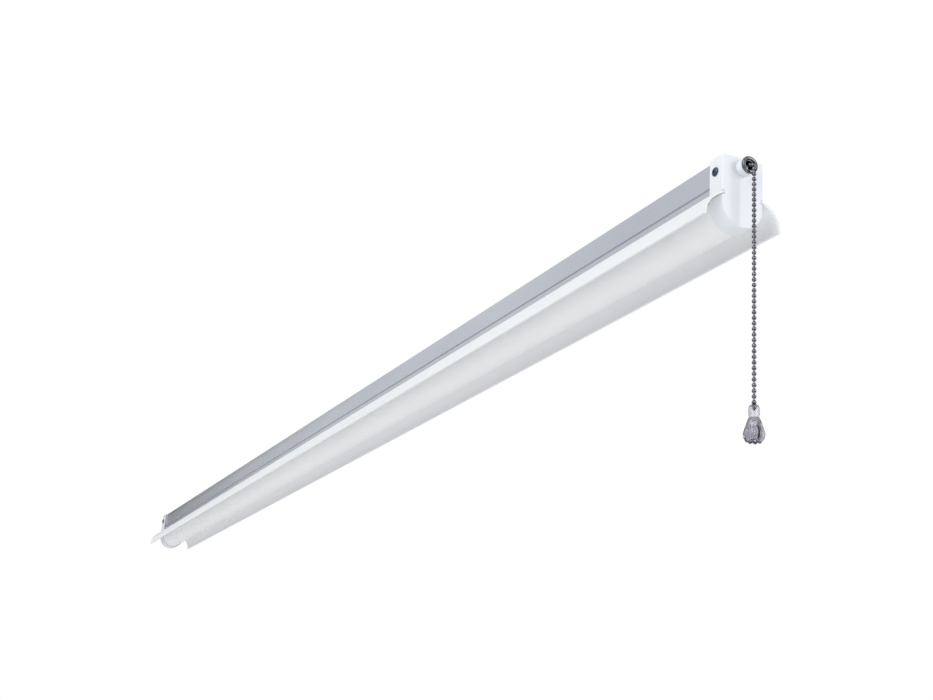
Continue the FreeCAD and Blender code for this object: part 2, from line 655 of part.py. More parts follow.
def hanging(first, count, lead_in=True, lead_out=True):
    """Part of the hanging run, counted from the bead beside the bell's lip."""
    start = Vector(CHAIN_X, 0, CHAIN_TOP - first * PITCH)
    return strand(start, Vector(0, 0, -1), count, lead_in, lead_out)


def turn_bead(steps):
    """Bead on the quarter turn, counted in pitches from where the turn starts."""
    angle = max(steps, 0) * PITCH / RIM_PATH
    along = Vector(math.cos(angle), 0, -math.sin(angle))
    centre = Vector(BELL_X + min(steps, 0) * PITCH + RIM_PATH * math.sin(angle), 0,
                    SWITCH_Z - RIM_PATH * (1 - math.cos(angle)))
    return strand(centre, along, 1, False, False)


def chain_lead():
    """Beads inside the switch, from the drum's groove to the bell's throat."""
    start = Vector(DRUM_X, 0, SWITCH_Z)
    return strand(start, Vector(1, 0, 0), LEAD_BEADS, False, True)


def pull_knob():
    """Clear bell that hangs on the chain's last bead, with flutes running to petals."""
    foot = KNOB_TOP - KNOB_HEIGHT
    hole = LINK_R + KNOB_BORE_GAP / 2
    bore = BEAD_R + KNOB_BORE_GAP
    collar = KNOB_TOP - KNOB_NECK - 2 * BEAD_R
    outline = [(hole, KNOB_TOP), (KNOB_TOP_R, KNOB_TOP), (KNOB_COLLAR_R, collar),
               (KNOB_COLLAR_R, collar - KNOB_COLLAR), (KNOB_WAIST_R, collar - KNOB_WAIST_DOWN),
               (KNOB_FLARE_R - KNOB_SHOULDER_IN, foot + KNOB_SHOULDER_UP),
               (KNOB_FLARE_R, foot + KNOB_WIDEST_UP),
               (KNOB_FLARE_R - KNOB_LIP_IN, foot + KNOB_LIP_UP),
               (KNOB_FLARE_R - KNOB_FOOT_IN, foot),
               (KNOB_FLARE_R - KNOB_FOOT_IN - KNOB_FOOT_RING, foot),
               (bore, foot + KNOB_MOUTH_UP), (bore, KNOB_TOP - KNOB_NECK),
               (hole, KNOB_TOP - KNOB_NECK)]
    body = revolve_z(outline, CHAIN_X, 0)
    flutes = []
    low_out = KNOB_FLARE_R + FLUTE_FOOT_OUT
    high_out = KNOB_WAIST_R + FLUTE_TOP_OUT
    for turn in range(KNOB_PETALS):
        angle = 2 * math.pi * (turn + 0.5) / KNOB_PETALS
        low = Vector(CHAIN_X + low_out * math.cos(angle), low_out * math.sin(angle), foot - 1)
        high = Vector(CHAIN_X + high_out * math.cos(angle), high_out * math.sin(angle),
                      collar - FLUTE_TOP_DOWN)
        flutes.append(rod(FLUTE_R, low, high))
    return cut_all(body, flutes)


# ---------------------------------------------------------------- driver and wiring
def driver_case():
    half_width = DRIVER_WIDTH / 2
    x = (DRIVER_X - DRIVER_LENGTH / 2, DRIVER_X + DRIVER_LENGTH / 2)
    top = ROOF
    outer = box(x, (-half_width, half_width), (top - DRIVER_HEIGHT + DRIVER_WALL, top))
    inner = box((x[0] + DRIVER_WALL, x[1] - DRIVER_WALL),
                (-half_width + DRIVER_WALL, half_width - DRIVER_WALL),
                (top - DRIVER_HEIGHT - 1, top - DRIVER_WALL))
    return outer.cut(inner)


def driver_cover():
    half_width = DRIVER_WIDTH / 2
    x = (DRIVER_X - DRIVER_LENGTH / 2, DRIVER_X + DRIVER_LENGTH / 2)
    bottom = ROOF - DRIVER_HEIGHT
    return box(x, (-half_width, half_width), (bottom, bottom + DRIVER_WALL))


def driver_board():
    half_width = DRIVER_WIDTH / 2 - DRIVER_WALL
    reach = DRIVER_LENGTH / 2 - DRIVER_BOARD_END
    bottom = ROOF - DRIVER_HEIGHT + DRIVER_WALL
    return box((DRIVER_X - reach, DRIVER_X + reach), (-half_width, half_width),
               (bottom, bottom + DRIVER_BOARD_THICK))


def driver_parts():
    """Transformer and capacitors standing on the driver's board."""
    floor = ROOF - DRIVER_HEIGHT + DRIVER_WALL + DRIVER_BOARD_THICK
    parts_on_board = [box((DRIVER_X - TRANSFORMER_HALF, DRIVER_X + TRANSFORMER_HALF),
                          (-TRANSFORMER_HALF_WIDTH, TRANSFORMER_HALF_WIDTH),
                          (floor, floor + TRANSFORMER_HEIGHT))]
    outline = [(CAPACITOR_R, 0), (CAPACITOR_R, CAPACITOR_HEIGHT)]
    for place in CAPACITOR_PLACES:
        base = Vector(DRIVER_X + place, 0, floor)
        parts_on_board.append(faceted_turn(outline, 12, base, Vector(0, 0, 1)))
    return Part.makeCompound(parts_on_board)


def terminal_block():
    x = (TERMINAL_X - TERMINAL_LENGTH / 2, TERMINAL_X + TERMINAL_LENGTH / 2)
    block = box(x, (-TERMINAL_WIDTH / 2, TERMINAL_WIDTH / 2), (ROOF - TERMINAL_HEIGHT, ROOF))
    z = ROOF - WIRE_HOLE_DOWN
    holes = [rod(WIRE_HOLE_R, Vector(x[0] - 1, wire * WIRE_SPACING, z),
                 Vector(x[1] + 1, wire * WIRE_SPACING, z)) for wire in (-1, 0, 1)]
    return cut_all(block, holes)


def terminal_screws():
    outline = [(TERMINAL_SCREW_R, 0), (TERMINAL_SCREW_R, TERMINAL_SCREW_H)]
    base_z = ROOF - TERMINAL_HEIGHT - TERMINAL_SCREW_H
    screws = []
    for wire in (-1, 0, 1):
        for side in (-1, 1):
            base = Vector(TERMINAL_X + side * TERMINAL_SCREW_IN, wire * WIRE_SPACING, base_z)
            screws.append(faceted_turn(outline, 8, base, Vector(0, 0, 1)))
    return Part.makeCompound(screws)


def parts():
    """Every node and its shape."""
    made = {
        "housing": housing(),
        "led_tray": led_tray(),
        "diffuser_lens": lens(),
        "reflector_wing_right": wing(),
        "reflector_wing_left": mirror_y(wing()),
        "end_cap_switch": end_cap_switch(),
        "end_cap_blank": end_cap_blank(),
        "end_cap_screws_near": cap_screws(1),
        "end_cap_screws_far": cap_screws(-1),
        "cord_grommet": cord_grommet(),
        "switch_case": switch_case(),
        "switch_cover": switch_cover(),
        "switch_axle": switch_axle(),
        "switch_contacts": switch_contacts(),
        "switch_drum": switch_drum(),
        "switch_locknut": switch_locknut(),
        "switch_ring_nut": switch_ring_nut(),
        "bell_mouth": bell_mouth(),
        "chain_lead": chain_lead(),
        "chain_bead_throat": turn_bead(-1),
        "chain_bead_turn_in": turn_bead(0),
        "chain_bead_turn_out": turn_bead(1),
        "chain_stem": hanging(0, STEM_BEADS),
        "chain_pivot": hanging(STEM_BEADS, 1),
        "chain_upper": hanging(STEM_BEADS + 1, UPPER_BEADS),
        "chain_link": hanging(STEM_BEADS + 1 + UPPER_BEADS, 1),
        "pull_knob": pull_knob(),
        "driver_case": driver_case(),
        "driver_cover": driver_cover(),
        "driver_board": driver_board(),
        "driver_parts": driver_parts(),
        "terminal_block": terminal_block(),
        "terminal_screws": terminal_screws(),
    }
    lower_start = STEM_BEADS + UPPER_BEADS + 2
    made["chain_lower"] = hanging(lower_start, BEADS_DOWN - lower_start)
    for index in range(BOARD_COUNT):
        made["led_board_%d" % (index + 1)] = led_board(index)
        made["led_chips_%d" % (index + 1)] = led_chips(index)
    return made


def main():
    os.makedirs("parts", exist_ok=True)
    for name, shape in parts().items():
        shape.exportStep("parts/%s.step" % name)
        print("%-22s solids %3d  volume %10.1f" % (name, len(shape.Solids), shape.Volume))


main()
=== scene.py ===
"""Looks of a slim pull-chain shop light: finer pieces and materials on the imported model."""
import math
import bmesh
import bpy
from mathutils import Matrix, Vector

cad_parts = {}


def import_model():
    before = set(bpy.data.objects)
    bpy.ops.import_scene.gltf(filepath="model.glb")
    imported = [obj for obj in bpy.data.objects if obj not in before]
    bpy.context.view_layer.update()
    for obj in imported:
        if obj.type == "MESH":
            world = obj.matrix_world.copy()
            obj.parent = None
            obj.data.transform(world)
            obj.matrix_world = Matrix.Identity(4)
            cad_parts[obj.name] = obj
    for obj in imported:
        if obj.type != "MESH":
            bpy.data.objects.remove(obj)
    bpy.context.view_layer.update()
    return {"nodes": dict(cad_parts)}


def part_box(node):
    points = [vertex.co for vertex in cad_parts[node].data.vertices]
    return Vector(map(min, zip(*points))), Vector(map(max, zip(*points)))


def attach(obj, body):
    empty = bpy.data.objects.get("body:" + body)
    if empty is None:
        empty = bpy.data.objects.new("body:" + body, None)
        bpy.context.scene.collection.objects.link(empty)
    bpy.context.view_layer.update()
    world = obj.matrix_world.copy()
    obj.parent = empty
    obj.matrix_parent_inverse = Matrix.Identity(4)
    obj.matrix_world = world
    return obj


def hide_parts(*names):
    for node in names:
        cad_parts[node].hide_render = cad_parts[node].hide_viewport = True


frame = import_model()
MM = 0.001

# ---------------------------------------------------------------- sizes, metres, from the frame
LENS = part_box("diffuser_lens")
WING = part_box("reflector_wing_right")
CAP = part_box("end_cap_switch")
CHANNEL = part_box("housing")
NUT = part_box("switch_ring_nut")
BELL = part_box("bell_mouth")
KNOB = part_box("pull_knob")
HALF = CAP[1].x                                   # lamp's end
BODY_HALF = CHANNEL[1].y
BODY_END = LENS[1].x
CHANNEL_BOTTOM = CHANNEL[0].z
CAP_ROUND_Z = LENS[0].z + BODY_HALF               # axis of the half-round bottoms
SWITCH_Z = (NUT[0].z + NUT[1].z) / 2

# sizes that the boxes don't give
CAP_WALL = 1.2 * MM
CAP_FRONT = 1.5 * MM
CAP_CORNER = 1.3 * MM
CAP_CORNER_SHRINK = 0.9        # corner radius lost per inset
CAP_EDGE = 0.8 * MM
CAP_LIP = 0.2 * MM
CAP_ROOF = 1.35 * MM
CAVITY_CORNER_LESS = 0.7 * MM  # cavity's corner radius, less than the cap's
SWITCH_HOLE_R = 3.05 * MM
GROMMET_HOLE_Z = -10.0 * MM
GROMMET_HOLE_R = 4.4 * MM
CAP_FRONT_CUT = 4 * MM         # how far the cap's hole cutters reach
CAP_SIDE_CUT = 3 * MM
GROOVE_TOP = -20.3 * MM
GROOVE_BOTTOM = -22.0 * MM
GROOVE_BACK = 9.7 * MM
CHANNEL_WALL = 1.3 * MM
CHANNEL_CORNER = 0.6 * MM
LIP_INNER = 7.2 * MM
LEDGE = (-17.9 * MM, -16.9 * MM)
LEDGE_REACH = 1.25 * MM
LINE_Z = -14.5 * MM            # V line along the channel's sides
LINE_HALF = 0.65 * MM
LINE_DEPTH = 0.7 * MM
CEILING_HOLE_R = 2.3 * MM
CEILING_HOLE_IN = 60 * MM
HANGER_SLOT_R = 2.5 * MM
HANGER_SLOT_LENGTH = 14 * MM
HANGER_SLOT_IN = 130 * MM
SCREW_HOLE_R = 1.55 * MM
LENS_WALL = 1.2 * MM
LENS_LEG_INNER = 5.8 * MM
LENS_LEG = 1.1 * MM
LENS_BEVEL = 0.12 * MM
HOOK_THICK = 1.1 * MM
SNAP_GAP = 0.2 * MM
WING_THICK = 1.3 * MM
WING_RADIUS = 17.3 * MM
WING_AXIS = (7.2 * MM, -37.1 * MM)
WING_BEVEL = 0.2 * MM
WING_WELD = 0.01 * MM          # corners closer than this become one
WING_END_GAP = 0.3 * MM        # tongue cut back behind the cap's end face
SLOT = (-22.45 * MM, -20.25 * MM)  # end cap's side slot round a wing
SLOT_IN = 0.25 * MM            # and its reach inside the cap's wall
SCREW_X_IN = 6.45 * MM
SCREW_Z = -7.6 * MM
SCREW_RECESS = ((0.35, 0.75, 0.2), (1.6, 1.6, 0.34))  # height, half-length, half-width, mm
BEAD_R = 1.2 * MM
LINK_R = 0.55 * MM
BEAD_HOLE_R = 0.68 * MM        # ball ends here, and a cone leads to the link
LINK_TIP_R = 0.42 * MM         # thin enough to bend past the next link
PITCH = 3.0 * MM
STUB = PITCH / 2 - 0.25 * MM
LINK_SINK = 0.86               # link meets its bead at this share of the bead's radius
BEAD_CORE = 0.8                # and an end bead is closed at this share
CHAIN_SIDES = 20
BUSHING_R = 2.9 * MM
NUT_MOUTH_GAP = 0.7 * MM
NUT_BEVEL = 0.6 * MM
NUT_FOOT = 0.15 * MM
NUT_RING = ((1.1, 0), (1.25, 0.12), (1.3, 0.4))  # front ring's inner edge: inset, depth, mm
NUT_MOUTH = ((0.15, 0.4), (0, 0.55), (0, 1.2))   # edge round the neck: widening, depth, mm
THROAT_R = 1.95 * MM
BELL_WALL = 0.45 * MM
RIM_R = 1.1 * MM
BELL_FLARE = 2.3 * MM
RIM_CENTRE_X = BELL[1].x - RIM_R
RIM_PATH = BELL[1].z - SWITCH_Z - RIM_R
KNOB_PETALS = 8
HOLE_SIDES = 32
SCREW_SIDES = 24
TURNED_SIDES = 72
SHARP_ANGLE = 32               # degrees, an edge above it stays sharp
POLE_R = 1e-7                  # a turned radius below it is a pole


# ---------------------------------------------------------------- material helpers
def new_material(name):
    made = bpy.data.materials.new(name)
    made.use_nodes = True
    return made, made.node_tree, made.node_tree.nodes["Principled BSDF"]


def noise(tree, scale, detail=3.0, stretch=(1, 1, 1), roughness=0.5):
    """Noise in the object's own metres, stretched by a factor per axis."""
    place = tree.nodes.new("ShaderNodeTexCoord")
    mapping = tree.nodes.new("ShaderNodeMapping")
    mapping.inputs["Scale"].default_value = stretch
    texture = tree.nodes.new("ShaderNodeTexNoise")
    texture.inputs["Scale"].default_value = scale
    texture.inputs["Detail"].default_value = detail
    texture.inputs["Roughness"].default_value = roughness
    tree.links.new(place.outputs["Object"], mapping.inputs["Vector"])
    tree.links.new(mapping.outputs["Vector"], texture.inputs["Vector"])
    return texture.outputs["Fac"]


def between(tree, fac, low, high, span=(0.3, 0.7)):
    """A value that runs from low to high as the noise does."""
    node = tree.nodes.new("ShaderNodeMapRange")
    node.inputs["From Min"].default_value, node.inputs["From Max"].default_value = span
    node.inputs["To Min"].default_value = low
    node.inputs["To Max"].default_value = high
    tree.links.new(fac, node.inputs["Value"])
    return node.outputs["Result"]


def tones(tree, fac, dark, light, span=(0.3, 0.7)):
    """A colour that runs from dark to light as the noise does."""
    node = tree.nodes.new("ShaderNodeValToRGB")
    ramp = node.color_ramp.elements
    ramp[0].position, ramp[1].position = span
    ramp[0].color = (*dark, 1)
    ramp[1].color = (*light, 1)
    tree.links.new(fac, node.inputs["Fac"])
    return node.outputs["Color"]


def bump(tree, shader, height, strength, distance):
    node = tree.nodes.new("ShaderNodeBump")
    node.inputs["Strength"].default_value = strength
    node.inputs["Distance"].default_value = distance
    tree.links.new(height, node.inputs["Height"])
    tree.links.new(node.outputs["Normal"], shader.inputs["Normal"])


def surface(name, dark, light, rough, scale, metallic=0.0, stretch=(1, 1, 1), detail=3.0,
            bumps=0.1, depth=0.05 * MM, **settings):
    """Colour and roughness that wander between two values, with a bump of the same grain."""
    made, tree, shader = new_material(name)
    grain = noise(tree, scale, detail, stretch)
    tree.links.new(tones(tree, grain, dark, light), shader.inputs["Base Color"])
    tree.links.new(between(tree, grain, *rough), shader.inputs["Roughness"])
    bump(tree, shader, grain, bumps, depth)
    shader.inputs["Metallic"].default_value = metallic
    for socket, value in settings.items():
        shader.inputs[socket.replace("_", " ")].default_value = value
    return made


# ---------------------------------------------------------------- materials
def brushed_aluminium():
    """Satin aluminium brushed along the lamp, with slow changes of tone."""
    made, tree, shader = new_material("brushed_aluminium")
    lines = noise(tree, 2500, 4, (0.008, 1, 1), 0.65)
    slow = noise(tree, 9, 2, (0.5, 1, 1))
    mixed = tree.nodes.new("ShaderNodeMix")
    mixed.data_type = "RGBA"
    mixed.blend_type = "MULTIPLY"
    mixed.inputs["Factor"].default_value = 0.6
    tree.links.new(tones(tree, slow, (0.475, 0.505, 0.57), (0.53, 0.56, 0.62)), mixed.inputs["A"])
    tree.links.new(tones(tree, lines, (0.88, 0.88, 0.88), (1, 1, 1)), mixed.inputs["B"])
    tree.links.new(mixed.outputs["Result"], shader.inputs["Base Color"])
    tree.links.new(between(tree, lines, 0.24, 0.38), shader.inputs["Roughness"])
    bump(tree, shader, lines, 0.12, 0.02 * MM)
    shader.inputs["Metallic"].default_value = 1.0
    shader.inputs["Anisotropic"].default_value = 0.8
    shader.inputs["Anisotropic Rotation"].default_value = 0.25
    return made


def frosted_lens():
    """Satin translucent acrylic."""
    made, tree, shader = new_material("frosted_lens")
    cloud = noise(tree, 25, 3, (0.3, 1, 1))
    frost = noise(tree, 5000, 2)
    tree.links.new(tones(tree, cloud, (0.94, 0.94, 0.95), (0.975, 0.97, 0.98)),
                   shader.inputs["Base Color"])
    tree.links.new(between(tree, frost, 0.38, 0.5), shader.inputs["Roughness"])
    bump(tree, shader, frost, 0.08, 0.01 * MM)
    shader.inputs["Subsurface Weight"].default_value = 0.3
    shader.inputs["Subsurface Radius"].default_value = (2 * MM, 2 * MM, 2 * MM)
    shader.inputs["Subsurface Scale"].default_value = 1.0
    return made


def clear_acrylic():
    """Clear moulded acrylic, with faint haze and flow lines."""
    made, tree, shader = new_material("clear_acrylic")
    haze = noise(tree, 700, 3, (1, 1, 0.4))
    tree.links.new(tones(tree, haze, (0.93, 0.94, 0.96), (0.99, 0.99, 1.0)),
                   shader.inputs["Base Color"])
    tree.links.new(between(tree, haze, 0.01, 0.06), shader.inputs["Roughness"])
    bump(tree, shader, haze, 0.05, 0.03 * MM)
    shader.inputs["Transmission Weight"].default_value = 1.0
    shader.inputs["IOR"].default_value = 1.49
    depth = tree.nodes.new("ShaderNodeVolumeAbsorption")
    depth.inputs["Color"].default_value = (0.55, 0.53, 0.6, 1)
    depth.inputs["Density"].default_value = 300.0
    out = next(node for node in tree.nodes if node.type == "OUTPUT_MATERIAL")
    tree.links.new(depth.outputs["Volume"], out.inputs["Volume"])
    return made


MATERIALS = {
    "brushed_aluminium": brushed_aluminium(),
    "frosted_lens": frosted_lens(),
    "clear_acrylic": clear_acrylic(),
    "aluminium_sheet": surface("aluminium_sheet", (0.62, 0.63, 0.65), (0.74, 0.75, 0.77),
                               (0.3, 0.45), 400, 1.0, (0.1, 1, 1)),
    "wing_plastic": surface("wing_plastic", (0.825, 0.835, 0.845), (0.86, 0.87, 0.88), (0.26, 0.36),
                            60, 0.0, (0.1, 1, 1), bumps=0.03, Coat_Weight=0.1),
    "white_moulding": surface("white_moulding", (0.82, 0.84, 0.88), (0.86, 0.88, 0.92),
                              (0.34, 0.46), 2500, bumps=0.12, depth=0.02 * MM),
    "screw_steel": surface("screw_steel", (0.035, 0.045, 0.07), (0.09, 0.11, 0.16),
                           (0.25, 0.42), 1800, 1.0, bumps=0.15, depth=0.03 * MM),
    "black_rubber": surface("black_rubber", (0.012, 0.012, 0.013), (0.03, 0.03, 0.032),
                            (0.55, 0.75), 1500, bumps=0.3),
    "brass": surface("brass", (0.55, 0.38, 0.14), (0.72, 0.52, 0.22), (0.25, 0.4), 900, 1.0),
    "dark_nickel": surface("dark_nickel", (0.11, 0.106, 0.125), (0.205, 0.197, 0.225),
                           (0.12, 0.24), 700, 1.0, bumps=0.08, depth=0.02 * MM,
                           Specular_Tint=(0.1, 0.1, 0.12, 1)),
    "circuit_board": surface("circuit_board", (0.02, 0.14, 0.06), (0.04, 0.22, 0.10),
                             (0.35, 0.5), 300, bumps=0.05),
    "dark_component": surface("dark_component", (0.02, 0.02, 0.025), (0.06, 0.06, 0.07),
                              (0.35, 0.6), 500),
    "led_board_white": surface("led_board_white", (0.84, 0.84, 0.83), (0.90, 0.90, 0.89),
                               (0.35, 0.5), 500, bumps=0.04),
    "led_phosphor": surface("led_phosphor", (0.80, 0.70, 0.20), (0.90, 0.80, 0.32),
                            (0.3, 0.45), 2000, bumps=0.06),
}


def paint_nodes():
    """Every CAD node that stays in view takes the material of its own slot's name."""
    for node in frame["nodes"].values():
        for held in node.material_slots:
            name = held.material.name.split(".")[0]
            held.material = MATERIALS[name]


# ---------------------------------------------------------------- mesh helpers
def piece(name, bm, body, slot, nodes, sharp=SHARP_ANGLE):
    """A mesh that rides on a body in place of CAD nodes, in one material."""
    mesh = bpy.data.meshes.new(name)
    bmesh.ops.recalc_face_normals(bm, faces=bm.faces)
    bm.to_mesh(mesh)
    bm.free()
    mesh.shade_smooth()
    mesh.set_sharp_from_angle(angle=math.radians(sharp))
    mesh.materials.append(MATERIALS[slot])
    made = bpy.data.objects.new(name, mesh)
    bpy.context.scene.collection.objects.link(made)
    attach(made, body)
    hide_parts(*nodes)
    return made


def soften(bm, width, angle=40, segments=2):
    """Rounds every edge sharper than the angle."""
    edges = [edge for edge in bm.edges
             if len(edge.link_faces) == 2 and edge.calc_face_angle() > math.radians(angle)]
    bmesh.ops.bevel(bm, geom=edges, offset=width, segments=segments, profile=0.5,
                    affect="EDGES", clamp_overlap=True)


def sweep(outline, start, end):
    """A closed (y, z) outline carried along X, with flat ends."""
    bm = bmesh.new()
    rings = [[bm.verts.new((x, y, z)) for y, z in outline] for x in (start, end)]
    count = len(outline)
    for i in range(count):
        j = (i + 1) % count
        bm.faces.new((rings[0][i], rings[0][j], rings[1][j], rings[1][i]))
    for ring in rings:
        bm.faces.new(ring)
    return bm


def turned(profile, sides, frame_matrix=Matrix.Identity(4), bm=None, closed=True):
    """(radius, height) points turned about the matrix's Z axis. A zero radius is a pole."""
    bm = bm or bmesh.new()
    rings = []
    for radius, height in profile:
        if radius < POLE_R:
            rings.append([bm.verts.new(frame_matrix @ Vector((0, 0, height)))])
            continue
        ring = []
        for i in range(sides):
            angle = 2 * math.pi * i / sides
            at = Vector((radius * math.cos(angle), radius * math.sin(angle), height))
            ring.append(bm.verts.new(frame_matrix @ at))
        rings.append(ring)
    pairs = list(zip(rings, rings[1:]))
    if closed:
        pairs.append((rings[-1], rings[0]))
    for low, high in pairs:
        for i in range(sides):
            j = (i + 1) % sides
            corners = [low[i % len(low)], low[j % len(low)], high[j % len(high)],
                       high[i % len(high)]]
            corners = list(dict.fromkeys(corners))
            if len(corners) > 2:
                bm.faces.new(corners)
    return bm


def aimed(centre, along):
    """Matrix that puts the origin at centre and turns Z to a direction."""
    return Matrix.Translation(centre) @ Vector(along).to_track_quat("Z", "Y").to_matrix().to_4x4()


def arc(centre, radius, start, end, steps):
    """(y, z) points on an arc, in degrees anticlockwise from the first axis."""
    turns = [math.radians(start + (end - start) * i / steps) for i in range(steps + 1)]
    return [(centre[0] + radius * math.cos(t), centre[1] + radius * math.sin(t)) for t in turns]


def boolean(made, cutters, operation="DIFFERENCE"):
    """Cuts bmesh tools out of a piece and leaves a plain mesh."""
    for tool in cutters:
        mesh = bpy.data.meshes.new("tool")
        bmesh.ops.recalc_face_normals(tool, faces=tool.faces)
        tool.to_mesh(mesh)
        tool.free()
        cutter = bpy.data.objects.new("tool", mesh)
        bpy.context.scene.collection.objects.link(cutter)
        change = made.modifiers.new("cut", "BOOLEAN")
        change.operation = operation
        change.solver = "EXACT"
        change.object = cutter
        bpy.context.view_layer.update()
        graph = bpy.context.evaluated_depsgraph_get()
        result = bpy.data.meshes.new_from_object(made.evaluated_get(graph))
        made.modifiers.clear()
        made.data = result
        bpy.data.objects.remove(cutter)
    made.data.shade_smooth()
    made.data.set_sharp_from_angle(angle=math.radians(SHARP_ANGLE))
    return made


def block(x, y, z):
    """Box-shaped cutting tool from three (low, high) pairs."""
    bm = bmesh.new()
    bmesh.ops.create_cube(bm, size=1.0)
    for vert in bm.verts:
        vert.co = Vector([low + (high - low) * (c + 0.5)
                          for c, (low, high) in zip(vert.co, (x, y, z))])
    return bm


def pin(radius, reach, sides, centre, along):
    """Round cutting tool that reaches both ways from its centre."""
    profile = [(0, -reach), (radius, -reach), (radius, reach), (0, reach)]
    return turned(profile, sides, aimed(centre, along), closed=False)


# ---------------------------------------------------------------- channel, lens and wings
def channel():
    """Channel with wing grooves, tray ribs, a V line along each side and its roof's holes."""
    inner = BODY_HALF - CHANNEL_WALL
    hook = GROOVE_BACK - CHANNEL_WALL
    right = arc((BODY_HALF - CHANNEL_CORNER, CHANNEL[1].z - CHANNEL_CORNER), CHANNEL_CORNER,
                90, 0, 4)
    right += [(BODY_HALF, LINE_Z + LINE_HALF), (BODY_HALF - LINE_DEPTH, LINE_Z),
              (BODY_HALF, LINE_Z - LINE_HALF), (BODY_HALF, GROOVE_TOP), (GROOVE_BACK, GROOVE_TOP),
              (GROOVE_BACK, GROOVE_BOTTOM), (BODY_HALF, GROOVE_BOTTOM),
              (BODY_HALF, CHANNEL_BOTTOM), (LIP_INNER, CHANNEL_BOTTOM),
              (LIP_INNER, GROOVE_BOTTOM), (hook, GROOVE_BOTTOM),
              (hook, GROOVE_TOP + CHANNEL_WALL), (inner, GROOVE_TOP + CHANNEL_WALL),
              (inner, LEDGE[0]), (inner - LEDGE_REACH, LEDGE[0]), (inner - LEDGE_REACH, LEDGE[1]),
              (inner, LEDGE[1]), (inner, CHANNEL[1].z - CHANNEL_WALL)]
    outline = right + [(-y, z) for y, z in reversed(right)]
    made = piece("channel_extruded", sweep(outline, CHANNEL[0].x, CHANNEL[1].x), "fixture",
                 "brushed_aluminium", ["housing"])
    reach = 2 * CHANNEL_WALL
    tools = []
    for end in (-1, 1):
        tools.append(pin(CEILING_HOLE_R, reach, HOLE_SIDES,
                         (end * (HALF - CEILING_HOLE_IN), 0, 0), (0, 0, 1)))
        tools.append(pin(SCREW_HOLE_R, 2 * BODY_HALF, SCREW_SIDES,
                         (end * (HALF - SCREW_X_IN), 0, SCREW_Z), (0, 1, 0)))
        slot = end * (HALF - HANGER_SLOT_IN)
        half = HANGER_SLOT_LENGTH / 2 - HANGER_SLOT_R
        tools.append(block((slot - half, slot + half), (-HANGER_SLOT_R, HANGER_SLOT_R),
                           (-reach, reach)))
        tools += [pin(HANGER_SLOT_R, reach, HOLE_SIDES, (slot + s * half, 0, 0), (0, 0, 1))
                  for s in (-1, 1)]
    boolean(made, tools)


def lens():
    """U with two inward shoulders and hooked legs that snap over the channel's lips."""
    top = CHANNEL_BOTTOM - SNAP_GAP
    shoulder = top - LENS_WALL
    leg_outer = LENS_LEG_INNER + LENS_LEG
    hook_bottom = GROOVE_BOTTOM + SNAP_GAP
    hook_top = hook_bottom + HOOK_THICK
    hook_reach = GROOVE_BACK - CHANNEL_WALL - SNAP_GAP
    inner = BODY_HALF - LENS_WALL
    right = [(BODY_HALF, top), (leg_outer, top), (leg_outer, hook_bottom),
             (hook_reach, hook_bottom), (hook_reach, hook_top), (LENS_LEG_INNER, hook_top),
             (LENS_LEG_INNER, shoulder), (inner, shoulder)]
    outline = arc((0, CAP_ROUND_Z), BODY_HALF, -180, 0, 48) + right
    outline += arc((0, CAP_ROUND_Z), inner, 0, -180, 48)
    outline += [(-y, z) for y, z in reversed(right)]
    bm = sweep(outline, -BODY_END, BODY_END)
    soften(bm, LENS_BEVEL)
    piece("lens_frosted", bm, "fixture", "frosted_lens", ["diffuser_lens"])


def wing(side, node):
    """Quarter curve, and a tongue that sits in the channel's groove."""
    y0, z0 = WING_AXIS
    root_y = BODY_HALF + SNAP_GAP
    inner = WING_RADIUS - WING_THICK
    root = math.degrees(math.acos((root_y - y0) / WING_RADIUS))
    inner_root = math.degrees(math.acos((root_y - y0) / inner))
    tip = math.degrees(math.asin((WING[0].z - z0) / WING_RADIUS))
    back = WING[0].y
    outline = [(back, GROOVE_TOP - SNAP_GAP), (root_y, GROOVE_TOP - SNAP_GAP)]
    outline += arc(WING_AXIS, WING_RADIUS, root, tip, 28)
    outline += arc(WING_AXIS, inner, tip, inner_root, 28)
    outline += [(root_y, GROOVE_BOTTOM + SNAP_GAP), (back, GROOVE_BOTTOM + SNAP_GAP)]
    bm = sweep([(side * y, z) for y, z in outline], -HALF, HALF)
    bmesh.ops.remove_doubles(bm, verts=bm.verts, dist=WING_WELD)
    soften(bm, WING_BEVEL)
    made = piece("wing_" + node.rsplit("_", 1)[1], bm, "fixture", "wing_plastic", [node])
    reach = CAP_FRONT + WING_END_GAP
    ends = [block((s * HALF - reach, s * HALF + reach),
                  sorted((0.0, side * (CAP[1].y - CAP_WALL))), (GROOVE_BOTTOM, GROOVE_TOP))
            for s in (-1, 1)]
    boolean(made, ends)


# ---------------------------------------------------------------- end caps
def u_outline(half_width, top, corner):
    """Flat top with rounded corners, straight sides and a half-round bottom."""
    points = arc((half_width - corner, top - corner), corner, 90, 0, 6)
    points += arc((0, CAP_ROUND_Z), half_width, 0, -180, 40)
    return points + arc((-half_width + corner, top - corner), corner, 180, 90, 6)


